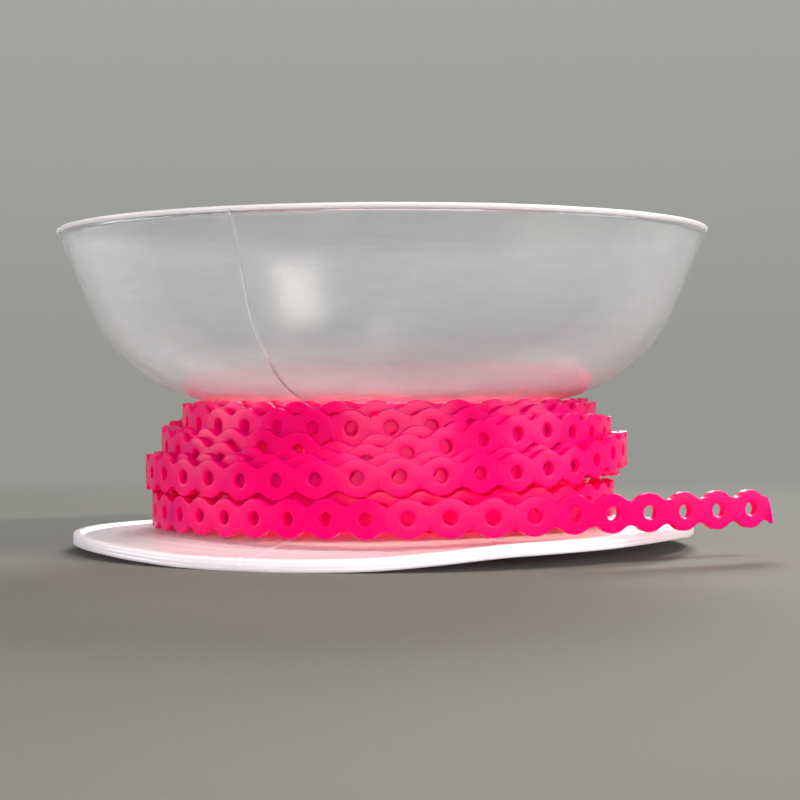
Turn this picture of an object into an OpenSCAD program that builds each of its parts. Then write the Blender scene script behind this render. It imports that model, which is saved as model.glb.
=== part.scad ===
// Flip-flange bobbin wound with a perforated elastic chain, in millimetres.
// The bobbin stands on its base flange: z = 0 is the table, +Z runs up the hub.
// The bowl-shaped cover flange is drawn open; its lip snaps down over the base flange.
// Azimuths are in degrees, from -Y (the front) towards +X.

/* [Hub and base flange] */
// Bore through the hub
bore_d = 13; // [8:0.5:15]
// Wall thickness of the hub tube
hub_t = 1.5; // [1:0.1:2.2]
// Diameter of the base flange
base_d = 49.8; // [46:0.2:60]
// Thickness of the base flange's web
base_t = 0.9; // [0.7:0.1:1.4]
// How far the flange rises from its rim to the hub
base_rise = 2.35; // [1.5:0.05:2.6]
// Height of the bead round the base flange
bead_h = 0.95; // [0.8:0.05:1.4]
// Clear height between the flanges, at the hub
wind_h = 8.7; // [8.6:0.1:13]

/* [Cover flange] */
// Wall thickness of the cover
cover_t = 0.5; // [0.4:0.05:0.8]
// Height of the open cover above its own floor
cover_h = 13.7; // [12:0.1:17]
// Radius of the bend between floor and side
cover_bend_r = 12; // [10:0.5:13]
// Slope of the side, from level
cover_angle = 67; // [60:1:72]
// Height of the lip
lip_h = 0.4; // [0.35:0.05:0.9]
// Thickness of the lip
lip_t = 0.8; // [0.7:0.05:1.2]
// Height of the ridge that the mould's halves leave where they meet
ridge_h = 0.06; // [0.04:0.01:0.1]
// Gap between the lip and the base flange when the cover is shut
snap_gap = 0.4; // [0.3:0.05:0.8]

/* [Chain] */
// Distance from one eyelet's centre to the next
link_pitch = 3; // [2.8:0.1:3.6]
// Outside diameter of an eyelet, which is the strip's width
eyelet_d = 2.85; // [2.5:0.05:2.9]
// Hole in an eyelet
eye_hole_d = 1.05; // [0.7:0.05:1.3]
// Width of the waist between two eyelets
waist_w = 1.7; // [1.2:0.1:2]
// Thickness of the strip
chain_t = 0.6; // [0.4:0.05:0.7]

/* [Winding] */
// Radius of the lowest turn, at the middle of its thickness
low_turn_r = 18.4; // [18.2:0.1:19.2]
// Radius of the middle turn, which bulges most
mid_turn_r = 19.1; // [19:0.1:20]
// Radius of the top turn
top_turn_r = 16.6; // [16.2:0.1:17.3]
// How far the top turn lies off centre, to the right
top_shift = 0.7; // [0:0.1:1]
// Eyelets in the wound outer turns
wound_links = 125; // [60:1:125]

/* [Hidden] */
$fn = 128;

bore_r = bore_d / 2;
hub_r = bore_r + hub_t;
base_r = base_d / 2;
bead_w = 0.85;
bead_line = 0.06;
ring_h = 0.08;
edge_r = 0.15;
mouth_chamfer = 0.4;
ridge_azimuth = -23.5;
ridge_w = 0.16;
ridge_root = 0.2;

// A thin raised line at the mould's parting plane, from a profile that reaches into the wall
module parting_ridge(profile) {
    turn = ridge_w / lip_out_r * 180 / PI;
    rotate([0, 0, ridge_azimuth - 90 - turn / 2])
    rotate_extrude(angle = turn)
    polygon(profile);
}

// The web's top falls in a straight cone from the hub to the bead
web_rim_z = bead_h - 0.3;
web_hub_z = web_rim_z + base_rise;
web_slope = base_rise / (base_r - bead_w - hub_r);
function web_z(r) = web_hub_z - (r - hub_r) * web_slope;

floor_z = web_hub_z + wind_h;
floor_top = floor_z + cover_t;
cover_top = floor_z + cover_h;
lip_z = cover_top - lip_h;
lip_in_r = base_r + snap_gap;
lip_out_r = lip_in_r + lip_t;

// The cover's outside: flat floor, one bend, then a straight side up to the rim
side_run = (cover_h - cover_bend_r * (1 - cos(cover_angle))) / tan(cover_angle);
floor_flat_r = lip_out_r - side_run - cover_bend_r * sin(cover_angle);
hinge_angle = 8;
bend_steps = 10;
side_lean = cover_t / sin(cover_angle);
function bend_point(a, depth) = [floor_flat_r + (cover_bend_r - depth) * sin(a),
    floor_z + cover_bend_r - (cover_bend_r - depth) * cos(a)];
function side_r(z) = lip_out_r - (cover_top - z) / tan(cover_angle);

module base_flange() {
    bead_in_r = base_r - bead_w;
    flat_in_r = hub_r + (web_hub_z - base_t) / web_slope;
    line_r = base_r - bead_line;
    ridge_in_r = low_turn_r + chain_t;
    ridge_out_r = bead_in_r + 0.1;
    color("lavenderblush") {
        rotate_extrude()
        polygon([
            [hub_r, web_hub_z - base_t], [min(flat_in_r, bead_in_r), max(0, web_z(bead_in_r) - base_t)],
            [bead_in_r, 0], [base_r - edge_r, 0], [base_r, edge_r],
            [base_r, 0.3 * bead_h], [line_r, 0.34 * bead_h], [base_r, 0.38 * bead_h],
            [base_r, 0.62 * bead_h], [line_r, 0.66 * bead_h], [base_r, 0.7 * bead_h],
            [base_r, bead_h - edge_r], [base_r - edge_r, bead_h],
            [bead_in_r + 0.35, bead_h], [bead_in_r, web_rim_z], [hub_r, web_hub_z]]);
        // Fine raised rings on the flange's face
        for (r = [base_r - 1.75, base_r - 4.3])
            rotate_extrude()
            polygon([[r - 0.15, web_z(r - 0.15) - 0.2], [r + 0.15, web_z(r + 0.15) - 0.2],
                [r + 0.15, web_z(r + 0.15) + ring_h / 2], [r, web_z(r) + ring_h],
                [r - 0.15, web_z(r - 0.15) + ring_h / 2]]);
        parting_ridge([
            [ridge_in_r, web_z(ridge_in_r) - ridge_root],
            [ridge_out_r, web_z(ridge_out_r) - ridge_root],
            [ridge_out_r, web_z(ridge_out_r) + ridge_h],
            [ridge_in_r, web_z(ridge_in_r) + ridge_h]]);
    }
}

module hub() {
    color("lavender")
    rotate_extrude()
    polygon([[bore_r + mouth_chamfer, 0], [hub_r, 0], [hub_r, floor_top],
        [bore_r + mouth_chamfer, floor_top], [bore_r, floor_top - mouth_chamfer], [bore_r, mouth_chamfer]]);
}

module cover_floor() {
    color("gainsboro")
    rotate_extrude()
    polygon([[hub_r, floor_z], [floor_flat_r, floor_z], bend_point(hinge_angle / 2, 0),
        bend_point(hinge_angle, 0), bend_point(hinge_angle, cover_t),
        bend_point(hinge_angle / 2, cover_t), [floor_flat_r, floor_top], [hub_r, floor_top]]);
}

module cover_wall() {
    step = (cover_angle - hinge_angle) / bend_steps;
    function bend(depth) = [for (i = [0:bend_steps]) bend_point(hinge_angle + i * step, depth)];
    function bend_back(depth) = [for (i = [bend_steps:-1:0]) bend_point(hinge_angle + i * step, depth)];
    color("silver") {
        rotate_extrude()
        polygon(concat(
            bend(0),
            [[side_r(lip_z), lip_z], [side_r(lip_z) - side_lean, lip_z]],
            bend_back(cover_t)));
        parting_ridge(concat(
            bend(-ridge_h),
            [[side_r(lip_z) + ridge_h, lip_z], [side_r(lip_z) - ridge_root, lip_z]],
            bend_back(ridge_root)));
    }
}

module cover_lip() {
    lip_edge = min(edge_r, lip_h / 3);
    color("whitesmoke")
    rotate_extrude()
    polygon([[lip_in_r, lip_z], [side_r(lip_z), lip_z], [lip_out_r, lip_z + 0.4 * lip_h],
        [lip_out_r, cover_top - lip_edge], [lip_out_r - lip_edge, cover_top],
        [lip_in_r + lip_edge, cover_top], [lip_in_r, cover_top - lip_edge]]);
}

// The strip's route on the bobbin, by the angle wound back from where the free end leaves.
// Each step below starts and ends at a wound angle. The lowest turn passes under itself in
// front and comes out behind as the middle one. That dips into the inner turns behind, climbs
// on the right as the upper turn, dives behind itself in front, and rises on the left to the top.
leave_azimuth = -60;
under_itself = [290, 350];
middle_rise = [450, 530];
middle_out = [505, 540];
middle_sag = [560, 680];
upper_dip = [765, 815];
upper_lift = [750, 800];
upper_rise = [830, 960];
upper_out = [865, 915];
front_dive = [985, 1035];
left_rise = [1045, 1110];
top_rise = [1115, 1160];
top_in = [1100, 1160];

turn_gap = chain_t + 0.45;
step_h = 0.3;
low_turn_z = web_z(low_turn_r) + eyelet_d / 2 + 0.35;
under_turn_z = low_turn_z + 0.15;
top_turn_z = floor_z - eyelet_d / 2 - 0.15;
middle_high_z = low_turn_z + 1.6 * eyelet_d;
middle_low_z = low_turn_z + 1.12 * eyelet_d;
dip_z = under_turn_z + eyelet_d + 0.45;
upper_high_z = top_turn_z - 0.6;
dive_z = low_turn_z + 1.3 * eyelet_d;
left_z = low_turn_z + 1.8 * eyelet_d;

function ease(a, span) = let (t = max(0, min(1, (a - span[0]) / (span[1] - span[0])))) t * t * (3 - 2 * t);
function turn_r(a) = low_turn_r
    - turn_gap * ease(a, under_itself)
    + (mid_turn_r - low_turn_r + turn_gap) * ease(a, middle_out)
    - (mid_turn_r - low_turn_r + 2 * turn_gap) * ease(a, upper_dip)
    + (mid_turn_r - low_turn_r + turn_gap) * ease(a, upper_out)
    + (top_turn_r - mid_turn_r + turn_gap) * ease(a, top_in);
function turn_z(a) = low_turn_z
    + (under_turn_z - low_turn_z) * ease(a, under_itself)
    + (middle_high_z - under_turn_z) * ease(a, middle_rise)
    + (middle_low_z - middle_high_z) * ease(a, middle_sag)
    + (dip_z - middle_low_z) * ease(a, upper_lift)
    + (upper_high_z - dip_z) * ease(a, upper_rise)
    + (dive_z - upper_high_z) * ease(a, front_dive)
    + (left_z - dive_z) * ease(a, left_rise)
    + (top_turn_z - left_z) * ease(a, top_rise);
function turn_point(a) = let (az = leave_azimuth - a)
    [turn_r(a) * sin(az) + top_shift * ease(a, top_in), -turn_r(a) * cos(az), turn_z(a)];

// Four stations a link, so that every fourth one is the middle of a waist
stations_a_link = 4;
station_gap = link_pitch / stations_a_link;
function step_angle(a) = station_gap / turn_r(a) * 180 / PI;
turn_angles = [for (i = 0, a = 0; i <= wound_links * stations_a_link; a = a + step_angle(a), i = i + 1) a];
turn_stations = [for (a = turn_angles) turn_point(a)];

// The free end's route, one point at the middle of each waist
free_route = [turn_point(0), [-14.4, -11.7, 3.3], [-12.5, -14.0, 3.3], [-10.4, -16.1, 3.3],
    [-8.0, -17.9, 3.4], [-5.4, -19.4, 3.4], [-2.6, -20.5, 3.5], [0.3, -21.3, 3.5], [3.3, -21.6, 3.6],
    [6.3, -21.6, 3.6], [9.3, -21.2, 3.6], [12.2, -20.5, 3.7], [15.0, -19.5, 3.7], [17.8, -18.4, 3.7],
    [20.6, -17.2, 3.7], [23.2, -15.8, 3.7], [25.9, -14.4, 3.7], [28.5, -12.9, 3.7]];
free_links = len(free_route) - 1;
free_knots = concat([turn_point(step_angle(0) * stations_a_link)], free_route,
    [2 * free_route[free_links] - free_route[free_links - 1]]);
function spline(p, i, t) = 0.5 * (2 * p[i + 1] + (p[i + 2] - p[i]) * t
    + (2 * p[i] - 5 * p[i + 1] + 4 * p[i + 2] - p[i + 3]) * t * t
    + (3 * p[i + 1] - p[i] - 3 * p[i + 2] + p[i + 3]) * t * t * t);
free_stations = concat(
    [for (i = [0:free_links - 1], k = [0:stations_a_link - 1]) spline(free_knots, i, k / stations_a_link)],
    [free_route[free_links]]);

// Frame of a station: along the strip, up across its width, and out of its face
function unit(v) = v / norm(v);
function along(p, k) = unit(p[min(k + 1, len(p) - 1)] - p[max(k - 1, 0)]);
function across(t) = unit([0, 0, 1] - t[2] * t);

// Half the strip's width at the four stations of a link
half_widths = [waist_w / 2, 0.44 * eyelet_d, eyelet_d / 2, 0.44 * eyelet_d];

// Corners of the strip at a station: upper and lower edge on one face, then on the other
function section(p, k) =
    let (t = along(p, k), u = across(t), n = cross(t, u), h = half_widths[k % stations_a_link])
    [for (face = [0.5, -0.5], edge = [1, -1]) p[k] + edge * h * u + face * chain_t * n];

// Points of an eyelet's hole on both faces, each laid on the strip between its stations
function hole_ring(p, link, sides) = let (k = link * stations_a_link + 2)
    [for (face = [0.5, -0.5], i = [0:sides - 1])
        let (x = eye_hole_d / 2 * cos(360 * i / sides), w = eye_hole_d / 2 * sin(360 * i / sides),
            next = x < 0 ? k - 1 : k + 1, t = along(p, k), u = across(t))
        p[k] + (p[next] - p[k]) * abs(x) / station_gap + w * u + face * chain_t * cross(t, u)];

// The ten rim points round a link, and which hole point each rim edge and hole edge joins to
rim_station = [4, 4, 3, 2, 1, 0, 0, 1, 2, 3];
rim_edge = [1, 0, 0, 0, 0, 0, 1, 1, 1, 1];
near_hole = [0, 0, 1, 2, 3, 3, 3, 4, 5, 0];
near_rim = [2, 3, 4, 7, 8, 9];
near_hole_fine = [0, 0, 1, 3, 4, 4, 4, 5, 7, 0];
near_rim_fine = [2, 3, 3, 4, 7, 8, 8, 9];

module chain_strip(p, sides) {
    last = len(p) - 1;
    links = last / stations_a_link;
    to_hole = sides == 6 ? near_hole : near_hole_fine;
    to_rim = sides == 6 ? near_rim : near_rim_fine;
    holes_at = 4 * (last + 1);
    points = concat(
        [for (k = [0:last]) each section(p, k)],
        [for (i = [0:links - 1]) each hole_ring(p, i, sides)]);
    function rim(link, j, face) =
        4 * (link * stations_a_link + rim_station[j % 10]) + rim_edge[j % 10] + 2 * face;
    function hole(link, j, face) = holes_at + (link * 2 + face) * sides + j % sides;
    function turned(f, face) = face == 0 ? [f[2], f[1], f[0]] : f;
    faces = [
        for (i = [0:links - 1], face = [0, 1]) each concat(
            [for (j = [0:9]) turned([rim(i, j, face), rim(i, j + 1, face), hole(i, to_hole[j], face)], face)],
            [for (j = [0:sides - 1])
                turned([hole(i, j + 1, face), hole(i, j, face), rim(i, to_rim[j], face)], face)]),
        for (i = [0:links - 1], j = [0:sides - 1]) each [
            [hole(i, j, 0), hole(i, j, 1), hole(i, j + 1, 1)],
            [hole(i, j, 0), hole(i, j + 1, 1), hole(i, j + 1, 0)]],
        for (k = [0:last - 1], edge = [0, 1]) let (a = 4 * k + edge, b = a + 4) each [
            turned([a, b, b + 2], edge), turned([a, b + 2, a + 2], edge)],
        for (end = [0, 1]) let (a = 4 * last * end) each [
            turned([a, a + 2, a + 3], end), turned([a, a + 3, a + 1], end)]];
    polyhedron(points, faces);
}

// Plain core of the inner turns: a stepped drum that carries the outer ones, and the top turns'
// own drum, which lies off centre with them
module inner_turns() {
    low_r = low_turn_r - chain_t / 2;
    mid_r = mid_turn_r - chain_t / 2;
    upper_r = mid_turn_r - turn_gap - chain_t / 2;
    low_top = (low_turn_z + middle_low_z) / 2 + step_h;
    mid_top = middle_low_z + eyelet_d / 2;
    upper_top = left_z + eyelet_d / 2 - step_h;
    color("crimson") {
        rotate_extrude()
        polygon([[hub_r, web_hub_z], [low_r, web_z(low_r)], [low_r, low_top - step_h], [mid_r, low_top],
            [mid_r, mid_top - step_h], [upper_r, mid_top], [upper_r, upper_top - step_h],
            [top_turn_r - 2 * top_shift, upper_top], [hub_r, upper_top]]);
        difference() {
            translate([top_shift, 0, upper_top - step_h])
            cylinder(r = top_turn_r - chain_t / 2, h = floor_z - upper_top + step_h);
            cylinder(r = hub_r, h = floor_z + step_h);
        }
    }
}

module outer_turns() {
    color("deeppink")
    chain_strip(turn_stations, 6);
}

module free_end() {
    color("hotpink")
    chain_strip(free_stations, 8);
}

// Least gap of the strip to itself, measured on its sections' corners
apart = 80;
function nearest(p, i) = min([for (j = [i + apart:1:len(p) - 1]) if (norm(p[i] - p[j]) < 2 * eyelet_d)
    min([for (a = section(p, i), b = section(p, j)) norm(a - b)]), 99]);
echo(least_gap = min([for (i = [0:2:len(turn_stations) - 1]) nearest(turn_stations, i)]));  // outer_turns

base_flange();
hub();
cover_floor();
cover_wall();
cover_lip();
inner_turns();
outer_turns();
free_end();
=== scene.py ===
import math

import bpy
import numpy as np
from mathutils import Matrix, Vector


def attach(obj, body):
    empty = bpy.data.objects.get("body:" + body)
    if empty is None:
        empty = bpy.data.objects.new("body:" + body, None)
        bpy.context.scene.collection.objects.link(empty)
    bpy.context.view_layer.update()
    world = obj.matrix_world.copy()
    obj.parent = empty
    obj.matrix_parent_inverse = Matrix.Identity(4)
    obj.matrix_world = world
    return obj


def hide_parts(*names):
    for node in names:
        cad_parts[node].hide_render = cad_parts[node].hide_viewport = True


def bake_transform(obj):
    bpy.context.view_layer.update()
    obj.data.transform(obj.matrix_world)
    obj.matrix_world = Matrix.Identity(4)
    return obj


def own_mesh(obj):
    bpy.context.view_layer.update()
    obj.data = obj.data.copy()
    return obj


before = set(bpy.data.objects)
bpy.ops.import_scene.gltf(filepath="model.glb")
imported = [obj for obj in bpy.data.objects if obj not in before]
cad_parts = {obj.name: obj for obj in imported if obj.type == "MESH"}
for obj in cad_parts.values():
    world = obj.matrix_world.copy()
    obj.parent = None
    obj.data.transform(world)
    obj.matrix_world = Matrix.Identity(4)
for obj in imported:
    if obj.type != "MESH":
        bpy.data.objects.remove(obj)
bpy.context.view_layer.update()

mm = 0.001

# Where the camera stands, in millimetres, and how it is aimed
viewSettings = {
    "standOff": 160.0, "sideways": 1.35, "height": 12.4,
    "focalPixels": 1970.0, "imagePixels": 800.0,
    "horizonDrop": 7.0,      # pixels that the horizon lies above the middle
    "axisPixel": 383.0,      # column that the camera sees the spool's axis in
    "roll": 0.25,            # degrees
}


def placeCamera(settings):
    cam = bpy.data.cameras.new("spoolCamera")
    cam.sensor_width = 36.0
    cam.lens = cam.sensor_width * settings["focalPixels"] / settings["imagePixels"]
    cam.clip_start, cam.clip_end = 0.01, 20.0
    holder = bpy.data.objects.new("spoolCamera", cam)
    bpy.context.scene.collection.objects.link(holder)
    holder.location = (settings["sideways"] * mm, -settings["standOff"] * mm, settings["height"] * mm)
    pitch = math.atan(settings["horizonDrop"] / settings["focalPixels"])
    holder.rotation_euler = (math.pi / 2 - pitch, math.radians(settings["roll"]), 0)
    bpy.context.scene.camera = holder


placeCamera(viewSettings)
bpy.context.scene.view_settings.view_transform = "Standard"


def hexToLinear(code):
    parts = [int(code[i:i + 2], 16) / 255 for i in (1, 3, 5)]
    return [c / 12.92 if c <= 0.04045 else ((c + 0.055) / 1.055) ** 2.4 for c in parts] + [1.0]


def addNode(tree, kind, settings=None, links=None):
    # settings go to sockets where one has that name or number, and to the node itself otherwise
    made = tree.nodes.new(kind)
    for key, value in (settings or {}).items():
        if isinstance(key, int) or key in made.inputs:
            made.inputs[key].default_value = value
        else:
            setattr(made, key, value)
    for key, source in (links or {}).items():
        tree.links.new(source, made.inputs[key])
    return made


def newMaterial(name):
    made = bpy.data.materials.new(name)
    made.use_nodes = True
    made.node_tree.nodes.clear()
    return made, made.node_tree


def keepFlats(mesh):
    # wide faces hold their own normal and the narrow ones at the edges bend to them, so that flats look flat
    count = len(mesh.polygons)
    normals, areas, sides = np.empty(count * 3), np.empty(count), np.empty(count, int)
    mesh.polygons.foreach_get("normal", normals)
    mesh.polygons.foreach_get("area", areas)
    mesh.polygons.foreach_get("loop_total", sides)
    corners = np.empty(len(mesh.loops), int)
    mesh.loops.foreach_get("vertex_index", corners)
    total = np.zeros((len(mesh.vertices), 3))
    np.add.at(total, corners, np.repeat(normals.reshape(-1, 3) * areas[:, None], sides, 0))
    total /= np.maximum(np.linalg.norm(total, axis=1), 1e-20)[:, None]
    mesh.normals_split_custom_set_from_vertices(total)


def makePiece(name, points, faces, material, smooth=True, flats=False):
    mesh = bpy.data.meshes.new(name)
    mesh.from_pydata([tuple(p) for p in points], [], [tuple(int(i) for i in f) for f in faces])
    mesh.update()
    if smooth:
        mesh.polygons.foreach_set("use_smooth", [True] * len(mesh.polygons))
    if flats:
        keepFlats(mesh)
    mesh.materials.append(material)
    piece = bpy.data.objects.new(name, mesh)
    bpy.context.scene.collection.objects.link(piece)
    return piece


def alongKnots(places, values, at):
    # smooth steps between knots, which are places and the values there
    places, values = np.asarray(places, float), np.asarray(values, float)
    slopes = np.gradient(values, places)
    i = np.clip(np.searchsorted(places, at) - 1, 0, len(places) - 2)
    step = places[i + 1] - places[i]
    t = np.clip((at - places[i]) / step, 0, 1)
    return ((2 * t**3 - 3 * t**2 + 1) * values[i] + (t**3 - 2 * t**2 + t) * step * slopes[i]
            + (3 * t**2 - 2 * t**3) * values[i + 1] + (t**3 - t**2) * step * slopes[i + 1])


def naturalPolypropylene(name, tints, clear, slantClear, rough, streak):
    # Uncoloured polypropylene, injection moulded: milky and see-through at once, with the
    # mould's turned polish as fine level streaks, and soft flow marks in its haze. clear stays
    # under 0.88: a render draws a thin false line along the wall where it passes about 0.89
    made, tree = newMaterial(name)
    spot = addNode(tree, "ShaderNodeTexCoord")
    split = addNode(tree, "ShaderNodeSeparateXYZ", {}, {"Vector": spot.outputs["Object"]})
    turn = addNode(tree, "ShaderNodeMath", {"operation": "ARCTAN2"},
                   {0: split.outputs["Y"], 1: split.outputs["X"]})
    arc = addNode(tree, "ShaderNodeMath", {"operation": "MULTIPLY", 1: 4 * mm}, {0: turn.outputs[0]})
    ring = addNode(tree, "ShaderNodeCombineXYZ", {}, {"X": arc.outputs[0], "Z": split.outputs["Z"]})
    lines = addNode(tree, "ShaderNodeTexNoise", {"Scale": 1 / (0.6 * mm), "Detail": 4.0, "Roughness": 0.7},
                    {"Vector": ring.outputs[0]})
    flow = addNode(tree, "ShaderNodeTexNoise", {"Scale": 1 / (14 * mm), "Detail": 3.0, "Distortion": 0.6},
                   {"Vector": spot.outputs["Object"]})
    mottle = addNode(tree, "ShaderNodeTexNoise", {"Scale": 1 / (0.35 * mm), "Detail": 2.0},
                     {"Vector": spot.outputs["Object"]})
    haze = addNode(tree, "ShaderNodeMapRange",
                   {"From Min": 0.3, "From Max": 0.7, "To Min": rough - 0.04, "To Max": rough + 0.04},
                   {"Value": lines.outputs[0]})
    blend = addNode(tree, "ShaderNodeMath", {"operation": "ADD"}, {0: flow.outputs[0], 1: lines.outputs[0]})
    patches = addNode(tree, "ShaderNodeMapRange", {"From Min": 0.75, "From Max": 1.25},
                      {"Value": blend.outputs[0]})
    tone = addNode(tree, "ShaderNodeMix",
                   {"data_type": "RGBA", 6: hexToLinear(tints[0]), 7: hexToLinear(tints[1])},
                   {0: patches.outputs[0]})
    height = addNode(tree, "ShaderNodeMath", {"operation": "MULTIPLY_ADD", 1: 0.4},
                     {0: mottle.outputs[0], 2: lines.outputs[0]})
    wave = addNode(tree, "ShaderNodeTexNoise", {"Scale": 1 / (4 * mm), "Detail": 1.0},
                   {"Vector": spot.outputs["Object"]})
    uneven = addNode(tree, "ShaderNodeMath", {"operation": "MULTIPLY_ADD", 1: 5.0},
                     {0: wave.outputs[0], 2: height.outputs[0]})
    bump = addNode(tree, "ShaderNodeBump", {"Strength": streak, "Distance": 0.02 * mm},
                   {"Height": uneven.outputs[0]})
    # light goes further through the wall where it is seen at a slant, so more of it is lost to haze there
    slant = addNode(tree, "ShaderNodeLayerWeight", {"Blend": 0.5})
    through = addNode(tree, "ShaderNodeMapRange",
                      {"From Min": 0.35, "From Max": 0.95, "To Min": clear, "To Max": slantClear},
                      {"Value": slant.outputs["Facing"]})
    shader = addNode(tree, "ShaderNodeBsdfPrincipled",
                     {"IOR": 1.49, "Subsurface Weight": 1.0, "Subsurface Radius": (1.0, 1.0, 1.0),
                      "Subsurface Scale": 1.5 * mm},
                     {"Base Color": tone.outputs[2], "Roughness": haze.outputs[0], "Normal": bump.outputs[0],
                      "Transmission Weight": through.outputs[0]})
    addNode(tree, "ShaderNodeOutputMaterial", {}, {"Surface": shader.outputs[0]})
    return made


def pinkElastomer(name, tints, rough, paintedGlow):
    # Thermoplastic polyurethane, moulded in a strip: rubbery, evenly dyed, light glows
    # through its thin edges and turns deep red between the layers
    made, tree = newMaterial(name)
    spot = addNode(tree, "ShaderNodeTexCoord")
    cloud = addNode(tree, "ShaderNodeTexNoise", {"Scale": 1 / (3 * mm), "Detail": 2.0},
                    {"Vector": spot.outputs["Object"]})
    grain = addNode(tree, "ShaderNodeTexNoise", {"Scale": 1 / (0.12 * mm), "Detail": 2.0},
                    {"Vector": spot.outputs["Object"]})
    tone = addNode(tree, "ShaderNodeMix",
                   {"data_type": "RGBA", 6: hexToLinear(tints[0]), 7: hexToLinear(tints[1])},
                   {0: cloud.outputs[0]})
    finish = addNode(tree, "ShaderNodeMapRange", {"To Min": rough - 0.06, "To Max": rough + 0.06},
                     {"Value": grain.outputs[0]})
    bump = addNode(tree, "ShaderNodeBump", {"Strength": 0.12, "Distance": 0.01 * mm},
                   {"Height": grain.outputs[0]})
    # the emission here is painted light: it makes the rubber shine pink though it is no lamp, standing in for
    # light that sinks into the pack and comes back out
    shader = addNode(tree, "ShaderNodeBsdfPrincipled",
                     {"IOR": 1.5, "Subsurface Weight": 1.0, "Subsurface Radius": (1.0, 0.08, 0.25),
                      "Subsurface Scale": 2.5 * mm, "Specular IOR Level": 0.08,
                      "Emission Color": hexToLinear(tints[0]), "Emission Strength": paintedGlow},
                     {"Base Color": tone.outputs[2], "Roughness": finish.outputs[0],
                      "Normal": bump.outputs[0]})
    addNode(tree, "ShaderNodeOutputMaterial", {}, {"Surface": shader.outputs[0]})
    return made


coverPlastic = naturalPolypropylene("polypropyleneCover", tints=("#f6f6f8", "#e6e9ec"), clear=0.87,
                                    slantClear=0.58, rough=0.125, streak=0.8)
# the flange's faint pink is partly painted light: the pink that the chain throws onto it, painted into the
# tint of the milky plastic, which the hub shares
flangePlastic = naturalPolypropylene("polypropyleneFlange", tints=("#fce9f2", "#f9e5ee"), clear=0.12,
                                     slantClear=0.08, rough=0.35, streak=0.1)
lipPlastic = naturalPolypropylene("polypropyleneLip", tints=("#f6e8ec", "#f2e2e7"), clear=0.2,
                                  slantClear=0.15, rough=0.35, streak=0.1)
chainRubber = pinkElastomer("polyurethaneChain", tints=("#ff0568", "#ff005e"), rough=0.22, paintedGlow=0.0)
# the inner turns have a faint emission too: painted light that lifts the shade in the gaps between the rows
coreRubber = pinkElastomer("polyurethaneInnerTurns", tints=("#ff1058", "#ff0850"), rough=0.4, paintedGlow=0.12)
# the pack's closed top, under the cover: its strong emission is painted light, a glow that stands in for the
# light caught in the pack, and it is what tints the foot of the cover pink
packRubber = pinkElastomer("polyurethanePackTop", tints=("#ff2a70", "#ff2068"), rough=0.4, paintedGlow=0.7)
print("materials made")


bobbin = {
    "boreRadius": 6.5, "hubRadius": 8.0, "mouthChamfer": 0.4,
    "baseRadius": 24.9, "beadWidth": 0.85, "beadHeight": 0.95,
    "webRimHeight": 0.65, "webHubHeight": 3.0, "webThickness": 0.9,
    "rings": ((23.15, 0.07, 0.14), (20.6, 0.06, 0.16)),     # radius, height and half width of each
    "ripple": (0.012, 5.3),                                 # height, and radians to the millimetre
    "floorHeight": 11.7, "wallThickness": 0.5, "bendRadius": 12.0, "sideAngle": 67.0, "coverHeight": 13.7,
    "lipHeight": 0.4, "lipInner": 25.35, "lipOuter": 26.1, "lipRound": 0.12, "lipOverlap": 0.15,
    "partingAzimuth": -23.5, "partingWidth": 0.16, "partingHeight": 0.07,
}
coverTop = bobbin["floorHeight"] + bobbin["coverHeight"]
lipBottom = coverTop - bobbin["lipHeight"]
sideAngle = math.radians(bobbin["sideAngle"])
sideRise = bobbin["coverHeight"] - bobbin["bendRadius"] * (1 - math.cos(sideAngle))
sideRun = sideRise / math.tan(sideAngle)
floorFlat = bobbin["lipOuter"] - sideRun - bobbin["bendRadius"] * math.sin(sideAngle)

# Lift of the base flange's rim by azimuth, in degrees and millimetres: a thin moulding that has
# sprung out of flat
flangeWarp = [
    (-180, 0.15), (-130, 0.35), (-86, 0.55), (-60, 0.5), (-45, 0.25), (-36, 0.08), (-20, 0.0), (-8, 0.04),
    (0, 0.17), (10, 0.52), (20, 0.88), (30, 1.02), (40, 1.1), (50, 1.2), (60, 1.25), (80, 1.05),
    (120, 0.6), (180, 0.15),
]


def bendPoint(angle, depth):
    return (floorFlat + (bobbin["bendRadius"] - depth) * math.sin(angle),
            bobbin["floorHeight"] + bobbin["bendRadius"] - (bobbin["bendRadius"] - depth) * math.cos(angle))


def columnAzimuths(count):
    # azimuths of the columns, closer together at the parting line
    even = np.linspace(-180, 180, count, endpoint=False)
    width = math.degrees(bobbin["partingWidth"] / 25)
    steps = np.array([-2, -1.2, -0.8, -0.5, -0.25, 0, 0.25, 0.5, 0.8, 1.2, 2])
    near = bobbin["partingAzimuth"] + width * steps
    return np.sort(np.concatenate([even[np.abs(even - bobbin["partingAzimuth"]) > 2.2 * width], near]))


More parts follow.
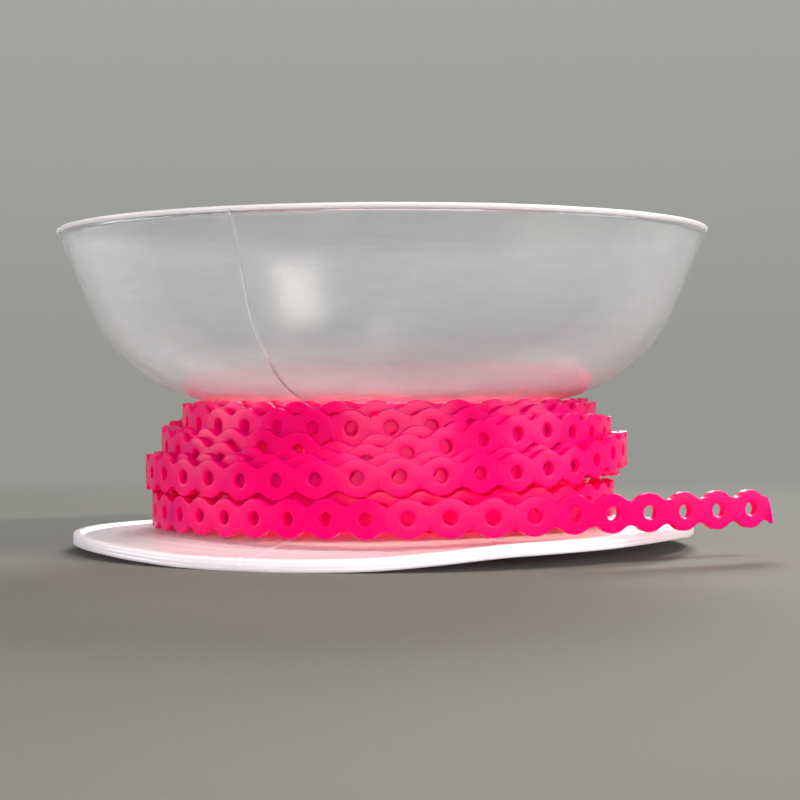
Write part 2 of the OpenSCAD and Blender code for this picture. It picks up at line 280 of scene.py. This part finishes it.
def turned(name, profile, material, count=360, lift=None, ridge=None):
    # profile is a closed run of (radius, height); lift(azimuth, radius) raises its points, and
    # ridge(r, z) swells them
    azimuths = columnAzimuths(count)
    prof = np.array(profile, float)
    radius = np.tile(prof[:, 0], (len(azimuths), 1))
    height = np.tile(prof[:, 1], (len(azimuths), 1))
    az = np.radians(azimuths)[:, None]
    if ridge is not None:
        out = np.roll(prof, -1, 0) - np.roll(prof, 1, 0)
        normal = np.stack([out[:, 1], -out[:, 0]], 1)
        normal /= np.maximum(np.linalg.norm(normal, axis=1), 1e-9)[:, None]
        across = np.radians(azimuths - bobbin["partingAzimuth"])[:, None] * radius / bobbin["partingWidth"]
        swell = bobbin["partingHeight"] * np.exp(-(across * 1.6) ** 2)
        swell = swell * ridge(prof[:, 0], prof[:, 1])[None, :]
        radius = radius + swell * normal[None, :, 0]
        height = height + swell * normal[None, :, 1]
    if lift is not None:
        height = height + lift(azimuths[:, None], radius)
    points = np.stack([radius * np.sin(az), -radius * np.cos(az), height], 2).reshape(-1, 3) * mm
    rows, n = len(azimuths), len(prof)
    faces = []
    for i in range(rows):
        here, there = i * n, (i + 1) % rows * n
        faces += [(here + j, there + j, there + (j + 1) % n, here + (j + 1) % n) for j in range(n)]
    return makePiece(name, points, faces, material)


def arcPoints(centre, radius, start, end, steps):
    angles = np.radians(np.linspace(start, end, steps))
    return [(centre[0] + radius * math.cos(a), centre[1] + radius * math.sin(a)) for a in angles]


def runBetween(a, b, steps):
    return [(a[0] + (b[0] - a[0]) * i / steps, a[1] + (b[1] - a[1]) * i / steps) for i in range(steps)]


def makeHub():
    b = bobbin
    top = b["floorHeight"] + b["wallThickness"]
    inner, outer, c = b["boreRadius"], b["hubRadius"] - 0.01, b["mouthChamfer"]
    profile = (runBetween((outer, 0), (outer, top), 8) + runBetween((outer, top), (inner + c, top), 3)
               + arcPoints((inner + c, top - c), c, 90, 180, 5)
               + runBetween((inner, top - 2 * c), (inner, 2 * c), 8)
               + arcPoints((inner + c, c), c, 180, 270, 5))
    piece = turned("hubTube", profile, flangePlastic, 128)
    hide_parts("hub")
    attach(piece, "spool")


def makeBaseFlange():
    b = bobbin
    rim, inner = b["baseRadius"], b["baseRadius"] - b["beadWidth"]
    slope = (b["webHubHeight"] - b["webRimHeight"]) / (inner - b["hubRadius"])
    flat = b["hubRadius"] + (b["webHubHeight"] - b["webThickness"]) / slope
    h = b["beadHeight"]
    # rim face, with the two shallow lines that the mould's rings leave round it
    face = [(rim - 0.12, 0.0), (rim - 0.03, 0.04), (rim, 0.12)]
    for middle in (0.34 * h, 0.66 * h):
        face += [(rim, middle - 0.06), (rim - 0.02, middle - 0.02),
                 (rim - 0.02, middle + 0.02), (rim, middle + 0.06)]
    face += [(rim, h - 0.16), (rim - 0.05, h - 0.05), (rim - 0.16, h), (inner + 0.4, h),
             (inner + 0.25, h - 0.04), (inner + 0.08, b["webRimHeight"] + 0.06),
             (inner - 0.1, b["webRimHeight"] + 0.02)]
    top = []
    for r in np.arange(inner - 0.3, b["hubRadius"], -0.25):
        z = b["webHubHeight"] - (r - b["hubRadius"]) * slope
        # fine turned rings: two that stand up, and a faint ripple all over
        z += sum(tall * math.exp(-((r - middle) / half) ** 2) for middle, tall, half in b["rings"])
        z += b["ripple"][0] * math.sin(r * b["ripple"][1])
        top.append((r, z))
    hubFoot = b["webHubHeight"] - b["webThickness"]
    profile = face + top + [(b["hubRadius"], b["webHubHeight"]), (b["hubRadius"], hubFoot)]
    profile += runBetween((b["hubRadius"] + 1, hubFoot - slope), (flat, 0), 12)
    profile += runBetween((flat, 0), (rim - 0.12, 0), 6)

    def lift(azimuth, radius):
        knots = np.array(flangeWarp)
        share = np.clip((radius - 15) / (b["baseRadius"] - 15), 0, 1)
        return alongKnots(knots[:, 0], knots[:, 1], azimuth) * share * share * (3 - 2 * share)

    def onTop(r, z):
        face = b["webHubHeight"] - (r - b["hubRadius"]) * slope
        return ((z > face - 0.2) & (r > b["hubRadius"] + 0.5)).astype(float)

    piece = turned("baseFlange", profile, flangePlastic, 360, lift, onTop)
    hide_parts("base_flange")
    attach(piece, "spool")


def makeCover():
    b = bobbin
    t = b["wallThickness"]
    sideTop = b["lipOuter"] - (coverTop - lipBottom) / math.tan(sideAngle)
    lean = t / math.sin(sideAngle)
    outer = runBetween((b["hubRadius"], b["floorHeight"]), (floorFlat, b["floorHeight"]), 8)
    outer += [bendPoint(a, 0) for a in np.linspace(0, sideAngle, 28)]
    # the wall ends a little inside the lip, so that the two look like one moulding
    top, tuck = lipBottom + b["lipOverlap"], b["lipOverlap"] / math.tan(sideAngle)
    outer += runBetween(bendPoint(sideAngle, 0), (sideTop + tuck, top), 14)[1:] + [(sideTop + tuck, top)]
    inner = runBetween((sideTop - lean + tuck, top), bendPoint(sideAngle, t), 14)
    inner += [bendPoint(a, t) for a in np.linspace(sideAngle, 0, 28)]
    inner += runBetween((floorFlat, b["floorHeight"] + t), (b["hubRadius"], b["floorHeight"] + t), 8)[1:]
    inner += [(b["hubRadius"], b["floorHeight"] + t)]
    marks = {(round(r, 4), round(z, 4)) for r, z in outer}

    def outside(r, z):
        return np.array([float((round(x, 4), round(y, 4)) in marks and x > 9) for x, y in zip(r, z)])

    piece = turned("coverBowl", outer + inner, coverPlastic, 360, None, outside)
    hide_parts("cover_floor", "cover_wall")
    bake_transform(piece)


def makeLip():
    b = bobbin
    sideTop = b["lipOuter"] - (coverTop - lipBottom) / math.tan(sideAngle)
    inner, outer = b["lipInner"], b["lipOuter"]
    e = b["lipRound"]
    profile = [(inner, lipBottom + 0.005), (sideTop, lipBottom + 0.005)]
    profile += arcPoints((outer - e, coverTop - e), e, 0, 90, 5)
    profile += arcPoints((inner + e, coverTop - e), e, 90, 180, 5)
    piece = turned("coverLip", profile, lipPlastic, 360)
    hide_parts("cover_lip")
    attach(piece, "cover_rim")


makeHub()
makeBaseFlange()
makeCover()
makeLip()
print("bobbin turned")


chain = {
    "pitch": 3.0, "eyeletRadius": 1.425, "holeRadius": 0.52, "waistHalf": 0.85, "thickness": 0.6,
    "edgeRound": 0.08, "edgeDrop": 0.06, "collarWidth": 0.16, "collarDrop": 0.03,
}


def filletOf(c):
    # the concave arc that joins an eyelet to the waist: its radius, and its centre's height
    half, big, low = c["pitch"] / 2, c["eyeletRadius"], c["waistHalf"]
    radius = (half**2 + low**2 - big**2) / (2 * (big - low))
    return radius, low + radius


def outlineReach(angle, c):
    # distance from an eyelet's centre to the link's outline, or to the end line, along a ray
    half, big = c["pitch"] / 2, c["eyeletRadius"]
    radius, centreHeight = filletOf(c)
    a = abs(math.atan2(math.sin(angle), abs(math.cos(angle))))
    if a <= math.atan2(c["waistHalf"], half) + 1e-9:
        return half / math.cos(a), True
    if a < math.atan2(centreHeight, half):
        along = half * math.cos(a) + centreHeight * math.sin(a)
        return along - math.sqrt(max(0, along**2 - half**2 - centreHeight**2 + radius**2)), False
    return big, False


def outlineHalf(s, c):
    # half the strip's width at a distance s from an eyelet's centre
    half, big = c["pitch"] / 2, c["eyeletRadius"]
    radius, centreHeight = filletOf(c)
    touch = big * half / (big + radius)
    s = np.abs(s)
    return np.where(s < touch, np.sqrt(np.maximum(big**2 - s**2, 0)),
                    centreHeight - np.sqrt(np.maximum(radius**2 - (half - s) ** 2, 0)))


def linkTemplate(c, quarter, edges):
    # one link as rays from the hole out; gives its points (along, across, face), faces and end rows
    corner = math.degrees(math.atan2(c["waistHalf"], c["pitch"] / 2))
    first = sorted({0.0, corner / 2, corner, *np.linspace(corner, 90, quarter + 1)})
    back = [180 - a for a in first[-2::-1]] + [180 + a for a in first[1:]]
    rays = np.radians(first + back + [360 - a for a in first[-2:0:-1]])
    hole = c["holeRadius"]
    layers = []
    for a in rays:
        reach = outlineReach(a, c)[0]
        inner = [hole, hole + 0.4 * c["collarWidth"], hole + c["collarWidth"]] if edges else [hole]
        outer = [reach - c["edgeRound"], reach - 0.35 * c["edgeRound"], reach] if edges else [reach]
        layers.append(inner + outer)
    layers = np.array(layers)
    along, across = layers * np.cos(rays)[:, None], layers * np.sin(rays)[:, None]
    fromHole = np.clip(1 - (layers - hole) / c["collarWidth"], 0, 1)
    fromEdge = np.clip(1 - (outlineHalf(along, c) - np.abs(across)) / c["edgeRound"], 0, 1)
    drop = c["collarDrop"] * fromHole**1.3 + c["edgeDrop"] * fromEdge**2
    rows, n = layers.shape
    face = c["thickness"] / 2 - drop
    points = np.concatenate([np.stack([along, across, face], 2).reshape(-1, 3),
                             np.stack([along, across, -face], 2).reshape(-1, 3)])
    under = rows * n
    faces = []
    isEnd = [outlineReach(a, c)[1] for a in rays]
    for i in range(rows):
        j = (i + 1) % rows
        for k in range(n - 1):
            faces.append((i * n + k, i * n + k + 1, j * n + k + 1, j * n + k))
            faces.append((under + i * n + k, under + j * n + k, under + j * n + k + 1, under + i * n + k + 1))
        faces.append((i * n, j * n, under + j * n, under + i * n))
        if not (isEnd[i] and isEnd[j]):
            faces.append((i * n + n - 1, under + i * n + n - 1, under + j * n + n - 1, j * n + n - 1))
    ahead = [i for i in range(rows) if isEnd[i] and math.cos(rays[i]) > 0]
    behind = [i for i in range(rows) if isEnd[i] and math.cos(rays[i]) < 0]
    ahead.sort(key=lambda i: math.sin(rays[i]))
    behind.sort(key=lambda i: math.sin(rays[i]))
    endRows = []
    for end in (ahead, behind):
        top = [i * n + n - 1 for i in end]
        endRows.append([*top, *[under + v for v in reversed(top)]])
    return points, faces, endRows


fineLink = linkTemplate(chain, 5, True)
plainLink = linkTemplate(chain, 2, False)


def lengthAlong(line):
    return np.concatenate([[0], np.cumsum(np.linalg.norm(np.diff(line, axis=0), axis=1))])


def layStrip(line, places, template, tip=None):
    # links laid along a line in millimetres, as one mesh with shared end rows; places are the links'
    # ends along it
    reach = lengthAlong(line)
    tangent = np.gradient(line, reach, axis=0)
    tangent /= np.linalg.norm(tangent, axis=1)[:, None]
    up = np.array([0, 0, 1.0]) - tangent[:, 2:3] * tangent
    up /= np.linalg.norm(up, axis=1)[:, None]
    out = np.cross(tangent, up)

    def lay(s, across, lift):
        s = np.clip(s, 0, reach[-1])
        place, u, o = (np.stack([np.interp(s, reach, v[:, k]) for k in range(3)], 1) for v in (line, up, out))
        return place + across[:, None] * u + lift[:, None] * o

    local, faces, (ahead, behind) = template
    half = chain["pitch"] / 2
    points, allFaces, last, count = [], [], None, 0
    for i in range(len(places) - 1):
        share = (local[:, 0] + half) / chain["pitch"]
        laid = lay(places[i] + share * (places[i + 1] - places[i]), local[:, 1], local[:, 2])
        index = np.full(len(local), -1)
        if last is not None:
            index[behind] = last[ahead]
        fresh = index < 0
        index[fresh] = count + np.arange(fresh.sum())
        points.append(laid[fresh])
        count += fresh.sum()
        allFaces += [tuple(index[list(f)]) for f in faces]
        if i == 0:
            allFaces.append(tuple(index[behind]))
        last = index
    row = last[ahead]
    if tip is not None:
        # the cut end: a little of the next link, sheared across at a slant
        start, n = local[ahead], len(ahead)
        for u in np.linspace(0, 1, tip["steps"] + 1)[1:]:
            side = start[:, 1] / chain["waistHalf"]
            s = half + u * (tip["far"] + (tip["near"] - tip["far"]) * (side + 1) / 2)
            across = side * outlineHalf(chain["pitch"] - s, chain)
            points.append(lay(places[-1] + s - half, across, start[:, 2]))
            fresh = count + np.arange(n)
            count += n
            allFaces += [(row[k], fresh[k], fresh[(k + 1) % n], row[(k + 1) % n]) for k in range(n)]
            row = fresh
    allFaces.append(tuple(row[::-1]))
    return np.concatenate(points), allFaces


def turnLine(knots, step=2.0):
    # knots are (azimuth, radius, height), with the azimuth falling as the strip unwinds
    k = np.array(knots, float)
    wound = -k[:, 0]
    at = np.arange(wound[0], wound[-1], step)
    radius = alongKnots(wound, k[:, 1], at)
    height = alongKnots(wound, k[:, 2], at)
    az = np.radians(-at)
    return at, np.stack([radius * np.sin(az), -radius * np.cos(az), height], 1)


# Holes of the outer turns that face the camera, from right to left: the column and row, in pixels, that
# it sees each at, and the radius in millimetres that it lies at. A fourth number is how much further in
# the strip is then pressed. turn is how far the strip has wound by azimuth nought of that row, in
# degrees, firstLink is the number of the row's first hole along the strip, and marked are the holes
# that the links are held to, for the strip isn't stretched alike all the way
facingHoles = {
    "middle": {"turn": 720, "firstLink": 62.5, "marked": (0, 5, 10, 14), "holes": [
        (610, 454.3, 19.35), (595, 460.2, 19.3), (574.2, 466, 19.2), (548.8, 468.8, 19.15),
        (516.7, 472.7, 19.1), (481.3, 473.8, 19.05), (441.7, 476, 19.02), (399.5, 477, 19.0),
        (356.7, 478, 19.0), (317.5, 479.3, 19.0), (278.3, 480.2, 19.0), (244.2, 480.2, 18.95),
        (211.7, 477.7, 18.95), (187.5, 476, 18.95), (167.5, 472.7, 18.95), (152.5, 471, 18.9)]},
    "climbing": {"turn": 1080, "firstLink": 101.5, "marked": (1, 6), "holes": [
        (588.3, 433.5, 18.15, 0.06), (570.8, 433, 18.12, 0.07), (546.7, 431, 18.05, 0.05),
        (517.5, 434.3, 17.95), (484.7, 439.7, 17.85), (446.7, 446.8, 17.8), (408.3, 453.5, 17.8)]},
    "top": {"turn": 2160, "firstLink": 218.5, "marked": (0, 3), "holes": [
        (391.7, 427.7, 16.57), (353, 428.5, 16.56), (315, 427.7, 16.55), (280, 426.8, 16.5)]},
}


def holeKnots(row):
    # the camera's view turned round: from a column and row to an azimuth and a height on the pack
    v = viewSettings
    horizon = v["imagePixels"] / 2 - v["horizonDrop"]
    knots = []
    for column, line, radius, *pressed in row["holes"]:
        slope = (column - v["axisPixel"]) / v["focalPixels"]
        az = math.asin(v["standOff"] * slope / (radius * math.hypot(1, slope))) - math.atan(slope)
        away = v["standOff"] - radius * math.cos(az)
        height = v["height"] + (horizon - line) * away / v["focalPixels"]
        # the places are read no finer than this
        knots.append((round(math.degrees(az) - row["turn"], 1), round(radius - sum(pressed), 2),
                      round(height, 2)))
    return knots


def linkMarks():
    # the first waist and then each marked hole: how far round the strip has wound, and its link number
    marks = [(-outerRoute[0][0], 0)]
    for row in facingHoles.values():
        knots = holeKnots(row)
        marks += [(-knots[k][0], row["firstLink"] + k) for k in row["marked"]]
    return marks


# The outer strip's route back from where the free end leaves: azimuth, radius and height
outerRoute = [
    # two turns on the base flange, the second under the first
    (-60, 18.4, 3.26), (-90, 18.35, 3.25), (-180, 18.3, 3.3), (-270, 18.3, 3.95), (-330, 18.2, 4.0),
    (-360, 17.85, 3.9), (-400, 17.5, 3.65), (-450, 17.45, 3.3), (-480, 17.55, 3.25), (-505, 17.6, 3.5),
    (-520, 17.6, 4.4), (-533, 17.68, 5.5), (-541, 17.75, 6.1), (-550, 18.3, 6.35), (-560, 19.0, 6.4),
    (-575, 19.3, 6.6),
    # the turn above them, which bulges most
    (-600, 19.35, 7.3), (-630, 19.35, 7.85), (-646, 19.35, 7.85),
    *holeKnots(facingHoles["middle"]),
    (-810, 18.85, 6.15), (-828, 18.7, 6.1), (-836, 18.4, 6.15), (-845, 17.7, 6.2), (-855, 17.1, 6.25),
    (-868, 16.95, 6.3),
    # the turn that climbs on the right and dives under on the left
    (-888, 16.98, 6.4), (-903, 17.08, 6.65), (-915, 17.35, 7.0), (-930, 17.85, 7.5), (-945, 18.05, 7.95),
    (-970, 18.1, 8.6), (-990, 18.1, 8.9), (-1005, 18.1, 9.15),
    *holeKnots(facingHoles["climbing"]),
    (-1082.9, 17.78, 7.4), (-1093.2, 17.78, 6.95), (-1103.6, 17.78, 6.95), (-1113.3, 17.76, 7.08),
    (-1121.5, 17.74, 7.4), (-1132, 17.72, 7.73), (-1142, 17.68, 8.0), (-1155, 17.63, 8.3),
    (-1170, 17.6, 8.45), (-1182, 17.6, 8.85), (-1190, 17.65, 9.1), (-1202, 18.1, 9.25),
    (-1215, 18.5, 9.3), (-1230, 18.68, 9.3),
    # the turn just behind, which shows as a second edge on the right
    (-1260, 18.7, 9.3), (-1280, 18.7, 9.15), (-1300, 18.72, 8.6), (-1320, 18.73, 7.9), (-1350, 18.73, 7.2),
    (-1380, 18.7, 7.3), (-1395, 18.6, 7.2), (-1415, 18.48, 6.95), (-1440, 18.4, 6.75), (-1470, 18.38, 6.6),
    (-1500, 18.33, 6.5), (-1530, 18.2, 6.35), (-1545, 18.1, 6.3), (-1552, 17.85, 6.3), (-1562, 17.1, 6.3),
    (-1575, 16.5, 6.35), (-1590, 16.35, 6.4),
    # the next one in
    (-1612, 16.4, 6.5), (-1630, 16.65, 6.9), (-1650, 17.0, 7.4), (-1680, 17.4, 8.3), (-1710, 17.52, 9.0),
    (-1740, 17.52, 9.45), (-1760, 17.42, 9.45), (-1770, 17.3, 9.3), (-1780, 17.22, 8.95), (-1787, 17.2, 8.75),
    (-1795, 17.18, 8.5), (-1803, 17.17, 7.9), (-1811, 17.17, 7.5), (-1821, 17.16, 8.2), (-1833, 17.14, 8.4),
    (-1850, 17.1, 8.38), (-1870, 17.04, 8.35), (-1890, 16.98, 8.4), (-1902, 16.93, 8.9), (-1912, 16.9, 9.25),
    (-1928, 16.9, 9.5),
    # and the top two
    (-1960, 16.8, 9.55), (-1985, 16.35, 9.6), (-2000, 16.2, 9.75), (-2015, 16.35, 9.95),
    (-2035, 16.65, 10.15), (-2055, 16.8, 10.2), (-2075, 16.88, 10.25), (-2100, 16.85, 10.15),
    (-2130, 16.65, 10.0),
    *holeKnots(facingHoles["top"]),
    (-2205, 16.38, 9.95), (-2220, 16.22, 10.1), (-2250, 15.85, 10.25), (-2300, 15.7, 10.3),
    (-2355, 15.55, 10.35), (-2380, 15.75, 10.45), (-2400, 16.0, 10.5), (-2430, 16.25, 10.5),
    (-2490, 16.1, 10.5), (-2520, 15.93, 10.45), (-2550, 15.8, 10.4), (-2580, 15.6, 10.4),
    (-2610, 15.2, 10.4),
]

# The free end's route, one point in the middle of each waist, as in the part's source
freeRoute = [
    (-14.4, -11.7, 3.3), (-12.5, -14.0, 3.3), (-10.4, -16.1, 3.3), (-8.0, -17.9, 3.4), (-5.4, -19.4, 3.4),
    (-2.6, -20.5, 3.5), (0.3, -21.3, 3.5), (3.3, -21.6, 3.6), (6.3, -21.6, 3.6), (9.3, -21.2, 3.6),
    (12.2, -20.5, 3.7), (15.0, -19.5, 3.7), (17.8, -18.4, 3.7), (20.6, -17.2, 3.7), (23.2, -15.8, 3.7),
    (25.9, -14.4, 3.7), (28.5, -12.9, 3.7),
]
tailPoint = (31.1, -11.4, 3.7)      # only to lead the cut end the right way
freeTip = {"steps": 4, "far": 0.68, "near": 0.12}
splineSteps = 12


def splineThrough(points, steps):
    p = np.array(points, float)
    p = np.concatenate([[2 * p[0] - p[1]], p, [2 * p[-1] - p[-2]]])
    t = (np.arange(steps) / steps)[:, None]
    runs = []
    for i in range(len(p) - 3):
        a, b, c, d = p[i:i + 4]
        runs.append(0.5 * (2 * b + (c - a) * t + (2 * a - 5 * b + 4 * c - d) * t**2
                           + (3 * b - a - 3 * c + d) * t**3))
    return np.concatenate([*runs, p[-2:-1]])


def makeOuterTurns():
    at, line = turnLine(outerRoute)
    reach = lengthAlong(line)
    # link ends: as marked as far as the marks go, and then at the natural pitch
    marks = np.array(linkMarks(), float)
    markReach = np.interp(marks[:, 0], at, reach)
    rest = int((reach[-1] - markReach[-1]) / chain["pitch"] - 0.5)
    numbers = np.append(marks[:, 1], marks[-1, 1] + rest)
    lengths = np.append(markReach, markReach[-1] + rest * chain["pitch"])
    links = int(numbers[-1])
    points, faces = layStrip(line, np.interp(np.arange(links + 1), numbers, lengths), fineLink)
    piece = makePiece("outerTurns", points * mm, faces, chainRubber, flats=True)
    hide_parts("outer_turns")
    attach(piece, "spool")
    print("outer turns:", links, "links")


# The older turns under the outer ones, in millimetres: a plain core's corners as radius and height, and
# on it rows of rings, each with its height, its radius at the sides, and how far it shifts to the front
innerPack = {
    "core": [(8.02, 3.02), (14.2, 2.2), (14.2, 11.55), (8.02, 11.6)],
    "rows": [(3.4, 16.75, 0.05), (6.2, 16.05, 0.4), (8.2, 15.45, 0.5), (10.3, 14.95, 0.35)],
    "layers": 3, "layerStep": 0.64, "layerTurn": 7, "waver": (0.04, 0.15),
}


def makeInnerTurns():
    # what shows through the holes and between the rows
    p = innerPack
    core = turned("innerCore", p["core"], packRubber, 128)
    rng = np.random.default_rng(5)
    points, faces, count = [], [], 0
    for layer in range(p["layers"]):
        for height, middle, swing in p["rows"]:
            az = np.arange(0, 361, 3.0)
            phase = rng.uniform(0, 360, 2)
            a = np.radians(az + p["layerTurn"] * layer)
            radius = middle - p["layerStep"] * layer + swing * np.cos(a)
            radius = radius + p["waver"][0] * np.sin(2 * a + phase[0])
            z = height + p["waver"][1] * np.sin(a + phase[1])
            line = np.stack([radius * np.sin(a), -radius * np.cos(a), z], 1)
            ends = np.arange(0, lengthAlong(line)[-1], chain["pitch"])
            made, madeFaces = layStrip(line, ends, plainLink)
            points.append(made)
            faces += [tuple(v + count for v in f) for f in madeFaces]
            count += len(made)
    piece = makePiece("innerTurns", np.concatenate(points) * mm, faces, coreRubber, flats=True)
    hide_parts("inner_turns")
    for made in (core, piece):
        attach(made, "spool")
    print("inner turns:", count, "points")


def makeFreeEnd():
    azimuth, radius, height = outerRoute[0]
    start = (radius * math.sin(math.radians(azimuth)), -radius * math.cos(math.radians(azimuth)), height)
    path = splineThrough([start, *freeRoute, tailPoint], splineSteps)
    seen = path[:-splineSteps]
    length = float(lengthAlong(seen)[-1])
    links = len(freeRoute)
    points, faces = layStrip(path, np.linspace(0, length, links + 1), fineLink, freeTip)
    piece = makePiece("freeEnd", points * mm, faces, chainRubber, flats=True)
    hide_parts("free_end")
    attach(piece, "spool")
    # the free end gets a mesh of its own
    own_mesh(piece)
    print("free end:", links, "links,", round(length, 1), "mm")


makeFreeEnd()
makeOuterTurns()
makeInnerTurns()


stageTones = {
    "floor": "#73746f", "horizon": "#969792", "above": "#a5a6a1", "aboveFrom": 0.2,
    "room": "#e6eaec", "roomStrength": 0.22,
    # metres from the spool between which the floor takes on the backdrop's tone
    "behind": (0.045, 0.14), "around": (0.08, 0.26),
    "rings": [0.02, 0.1, 0.3, 0.8, 2.0, 6.0],       # radii of the floor's mesh, in metres
}


def seenTone(tree, colour, lit):
    # colour is for what the camera sees, straight or by gloss or through plastic, and lit for other rays
    path = addNode(tree, "ShaderNodeLightPath")
    some = addNode(tree, "ShaderNodeMath", {"operation": "MAXIMUM"},
                   {0: path.outputs["Is Camera Ray"], 1: path.outputs["Is Glossy Ray"]})
    seen = addNode(tree, "ShaderNodeMath", {"operation": "MAXIMUM"},
                   {0: some.outputs[0], 1: path.outputs["Is Transmission Ray"]})
    return addNode(tree, "ShaderNodeMixShader", {}, {0: seen.outputs[0], 1: lit, 2: colour})


def makeStage():
    t = stageTones
    made, tree = newMaterial("paleFloor")
    spot = addNode(tree, "ShaderNodeTexCoord")
    away = addNode(tree, "ShaderNodeSeparateXYZ", {}, {"Vector": spot.outputs["Object"]})
    behind = addNode(tree, "ShaderNodeMapRange",
                     {"interpolation_type": "SMOOTHSTEP", "From Min": t["behind"][0],
                      "From Max": t["behind"][1]},
                     {"Value": away.outputs["Y"]})
    reach = addNode(tree, "ShaderNodeVectorMath", {"operation": "LENGTH"}, {0: spot.outputs["Object"]})
    around = addNode(tree, "ShaderNodeMapRange",
                     {"interpolation_type": "SMOOTHSTEP", "From Min": t["around"][0],
                      "From Max": t["around"][1]},
                     {"Value": reach.outputs["Value"]})
    fade = addNode(tree, "ShaderNodeMath", {"operation": "MAXIMUM"},
                   {0: behind.outputs[0], 1: around.outputs[0]})
    grain = addNode(tree, "ShaderNodeTexNoise", {"Scale": 1 / (0.5 * mm), "Detail": 3.0},
                    {"Vector": spot.outputs["Object"]})
    bump = addNode(tree, "ShaderNodeBump", {"Strength": 0.1, "Distance": 0.02 * mm},
                   {"Height": grain.outputs[0]})
    paper = addNode(tree, "ShaderNodeBsdfPrincipled",
                    {"Base Color": hexToLinear(t["floor"]), "Roughness": 0.85, "Specular IOR Level": 0.2},
                    {"Normal": bump.outputs[0]})
    plain = addNode(tree, "ShaderNodeEmission", {"Color": hexToLinear(t["horizon"])})
    far = seenTone(tree, plain.outputs[0], paper.outputs[0])
    whole = addNode(tree, "ShaderNodeMixShader", {},
                    {0: fade.outputs[0], 1: paper.outputs[0], 2: far.outputs[0]})
    addNode(tree, "ShaderNodeOutputMaterial", {}, {"Surface": whole.outputs[0]})
    rings, n = t["rings"], 64
    turns = np.linspace(0, 2 * math.pi, n, endpoint=False)
    points = [(r * math.cos(a), r * math.sin(a), 0) for r in rings for a in turns]
    faces = [tuple(range(n))]
    for k in range(len(rings) - 1):
        here, there = k * n, (k + 1) * n
        faces += [(here + i, there + i, there + (i + 1) % n, here + (i + 1) % n) for i in range(n)]
    floor = makePiece("floorSheet", points, faces, made, False)


# Places and sizes are in metres
lamps = {
    # from the upper right in front; the bowl's far side throws it back as a soft patch
    "softKey": {"place": (0.27, -0.28, 0.437), "aim": (0, 0, 0.015), "size": (0.19, 0.065),
                "watts": 2.2, "colour": "#fff2e2"},
    "topFront": {"place": (0.0, -0.22, 0.46), "aim": (0, 0, 0.015), "size": (0.06, 0.03),
                 "watts": 0.25, "colour": "#fff0e8"},
    "backWindow": {"place": (0.15, 0.7, 0.4), "aim": (0, 0, 0.01), "size": (0.3, 0.24),
                   "watts": 4.6, "colour": "#ffffff"},
    "frontFill": {"place": (0.06, -0.5, 0.07), "aim": (0, 0, 0.012), "size": (0.5, 0.12),
                  "watts": 2.6, "colour": "#f8faff"},
    "leftPanel": {"place": (-0.45, 0.02, 0.06), "aim": (0, 0, 0.015), "size": (0.3, 0.1),
                  "watts": 0.9, "colour": "#f8faff"},
    "rightPanel": {"place": (0.46, -0.12, 0.07), "aim": (0, 0, 0.015), "size": (0.3, 0.12),
                   "watts": 1.0, "colour": "#ffffff"},
}


def addLamp(name, place, aim, size, watts, colour):
    lamp = bpy.data.lights.new(name, "AREA")
    lamp.shape = "RECTANGLE"
    lamp.size, lamp.size_y = size
    lamp.energy = watts
    lamp.color = hexToLinear(colour)[:3]
    holder = bpy.data.objects.new(name, lamp)
    bpy.context.scene.collection.objects.link(holder)
    holder.location = place
    holder.visible_camera = False
    holder.rotation_mode = "QUATERNION"
    holder.rotation_quaternion = (Vector(aim) - Vector(place)).to_track_quat("-Z", "Y")


def lightTheScene():
    t = stageTones
    world = bpy.data.worlds.new("softRoom")
    world.use_nodes = True
    tree = world.node_tree
    tree.nodes.clear()
    spot = addNode(tree, "ShaderNodeTexCoord")
    split = addNode(tree, "ShaderNodeSeparateXYZ", {}, {"Vector": spot.outputs["Generated"]})
    rise = addNode(tree, "ShaderNodeMapRange", {"From Min": 0.0, "From Max": t["aboveFrom"]},
                   {"Value": split.outputs["Z"]})
    tone = addNode(tree, "ShaderNodeMix",
                   {"data_type": "RGBA", 6: hexToLinear(t["horizon"]), 7: hexToLinear(t["above"])},
                   {0: rise.outputs[0]})
    backdrop = addNode(tree, "ShaderNodeBackground", {}, {"Color": tone.outputs[2]})
    room = addNode(tree, "ShaderNodeBackground",
                   {"Color": hexToLinear(t["room"]), "Strength": t["roomStrength"]})
    both = seenTone(tree, backdrop.outputs[0], room.outputs[0])
    addNode(tree, "ShaderNodeOutputWorld", {}, {"Surface": both.outputs[0]})
    bpy.context.scene.world = world
    for name, lamp in lamps.items():
        addLamp(name, **lamp)


makeStage()
lightTheScene()
print("stage and light set")
